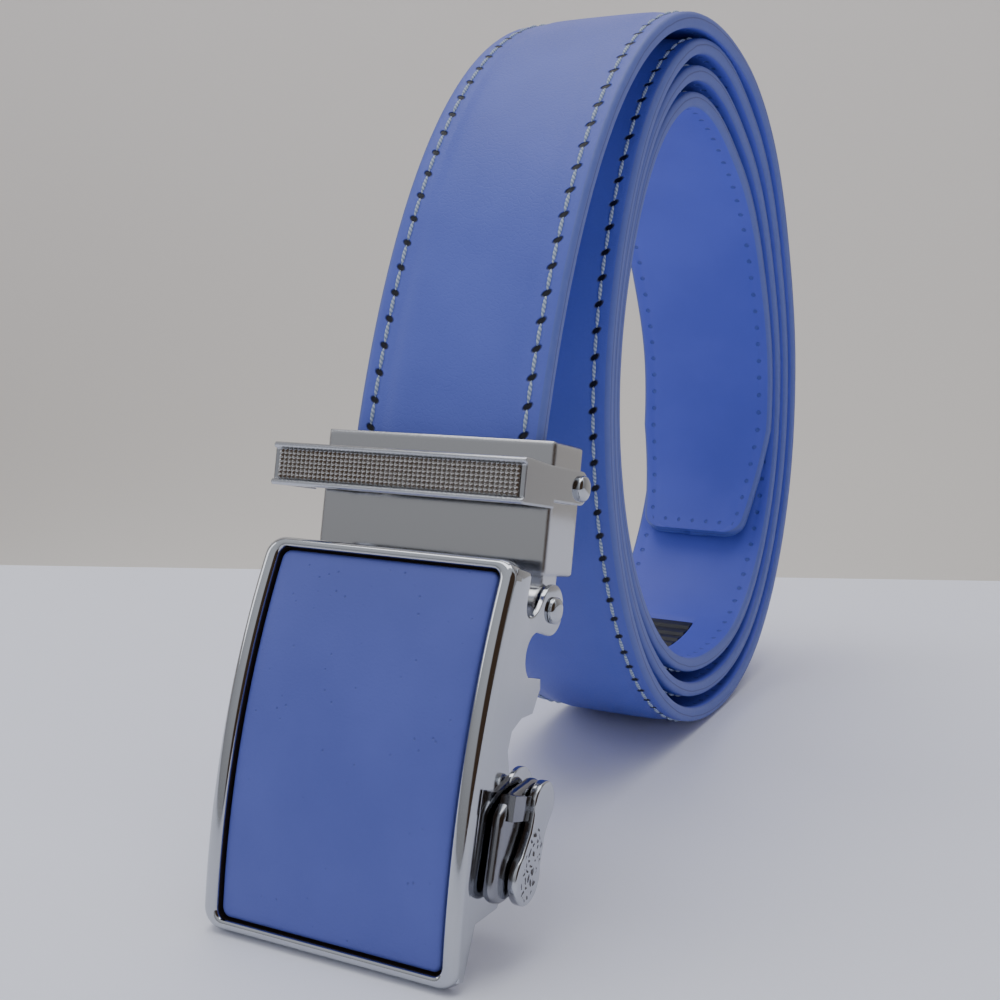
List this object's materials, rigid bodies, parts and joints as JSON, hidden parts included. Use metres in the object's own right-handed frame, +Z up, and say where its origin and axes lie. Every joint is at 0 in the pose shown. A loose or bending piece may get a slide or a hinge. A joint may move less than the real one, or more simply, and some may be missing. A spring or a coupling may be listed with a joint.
{
  "type": "ratchet belt",
  "caption": "Stitched leather belt coiled on edge, its end held in a hinged metal clamp with a flip bar, and a framed ratchet buckle with a side release lever.",
  "frame": {"origin": "bottom centre of the belt's bounding box, on the table that the coil and the buckle's lower edge stand on", "axes": "+Z up, X across the strap's width with the release lever on the +X side, +Y from the buckle toward the back of the coil"},
  "size_m": [0.0456, 0.1802, 0.138],
  "materials": {
    "strap_leather": "smooth satin leather in light cornflower blue with a fine grain",
    "panel_leather": "satin leather in cornflower blue with faint pores",
    "polished_chrome": "bright polished plate",
    "knurled_chrome": "bright plate with fine raised points",
    "track_plastic": "black moulded plastic with fine cross teeth"
  },
  "bodies": {
    "belt": {"strap": "strap_leather", "ratchet_track": "track_plastic", "clamp_body": "polished_chrome"},
    "buckle": {"buckle_frame": "polished_chrome", "face_panel": "panel_leather", "hinge_pin": "polished_chrome"},
    "bar": {"clamp_bar": "polished_chrome", "knurled_strip": "knurled_chrome", "bar_pin": "polished_chrome"},
    "lever": {"release_lever": "polished_chrome", "ratchet_pawl": "polished_chrome"}
  },
  "joints": [
    {"name": "buckle_hinge", "type": "hinge", "parent": "belt", "child": "buckle", "pos_m": [-0.0012, -0.06138, 0.04391], "axis": [1, 0, 0], "range_deg": [0, 60]},
    {"name": "bar_hinge", "type": "hinge", "parent": "belt", "child": "bar", "pos_m": [-0.0012, -0.05192, 0.05981], "axis": [-1, 0, 0], "range_deg": [0, 45]},
    {"name": "lever_hinge", "type": "hinge", "parent": "buckle", "child": "lever", "pos_m": [-0.0012, -0.07174, 0.01997], "axis": [-1, 0, 0], "range_deg": [0, 20], "stiffness_Nm_per_rad": 0.05, "springref_deg": -14.32}
  ]
}
